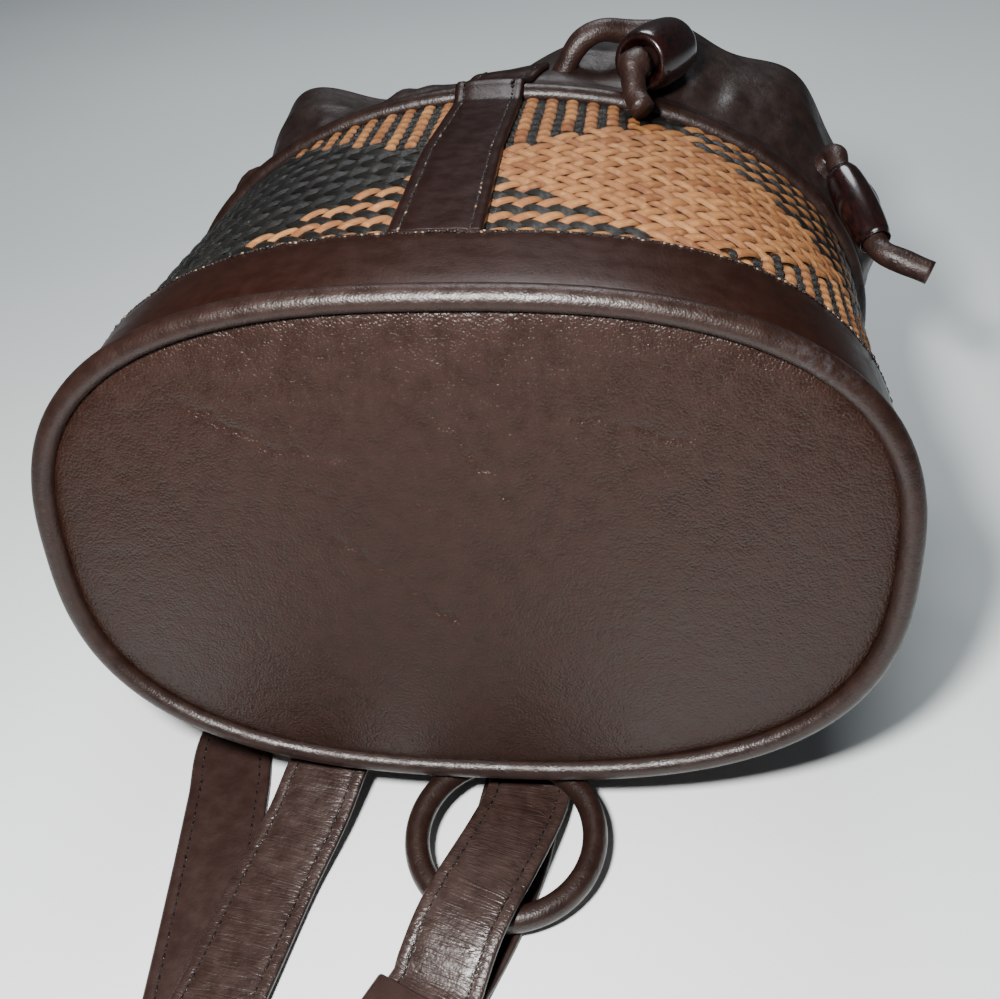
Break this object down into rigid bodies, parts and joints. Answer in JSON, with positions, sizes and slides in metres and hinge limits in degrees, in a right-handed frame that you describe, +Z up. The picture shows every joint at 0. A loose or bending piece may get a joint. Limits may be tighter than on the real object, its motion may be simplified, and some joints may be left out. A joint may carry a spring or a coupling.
{
  "type": "backpack",
  "caption": "Small bucket backpack of plaited straw and dark leather, lying on its back, with a gathered leather collar, a drawcord with beads, folded shoulder straps and a carrying ring.",
  "frame": {"origin": "on the ground under the middle of the bag, its straps included and the cord's free ends left out", "axes": "+Y along the bag from the base to the open mouth, +X to the bag's right as seen from the base, +Z up through its front"},
  "size_m": [0.2757, 0.471, 0.1976],
  "materials": {
    "brown_leather": "satin",
    "panel_leather": "satin",
    "soft_leather": "satin",
    "strap_leather": "satin",
    "plaited_straw": "matte",
    "dark_wood": "gloss"
  },
  "bodies": {
    "root": {"base_panel": "panel_leather", "base_piping": "brown_leather", "lower_band": "brown_leather", "straw_body": "plaited_straw", "front_strip": "brown_leather", "upper_piping": "brown_leather", "collar": "soft_leather", "drawcord": "brown_leather", "cord_end_front": "brown_leather", "cord_end_side": "brown_leather", "bead_front": "dark_wood", "bead_side": "dark_wood", "strap_left": "strap_leather", "strap_right": "strap_leather", "keeper_left": "brown_leather", "keeper_right": "brown_leather", "carry_ring": "brown_leather"}
  },
  "joints": []
}
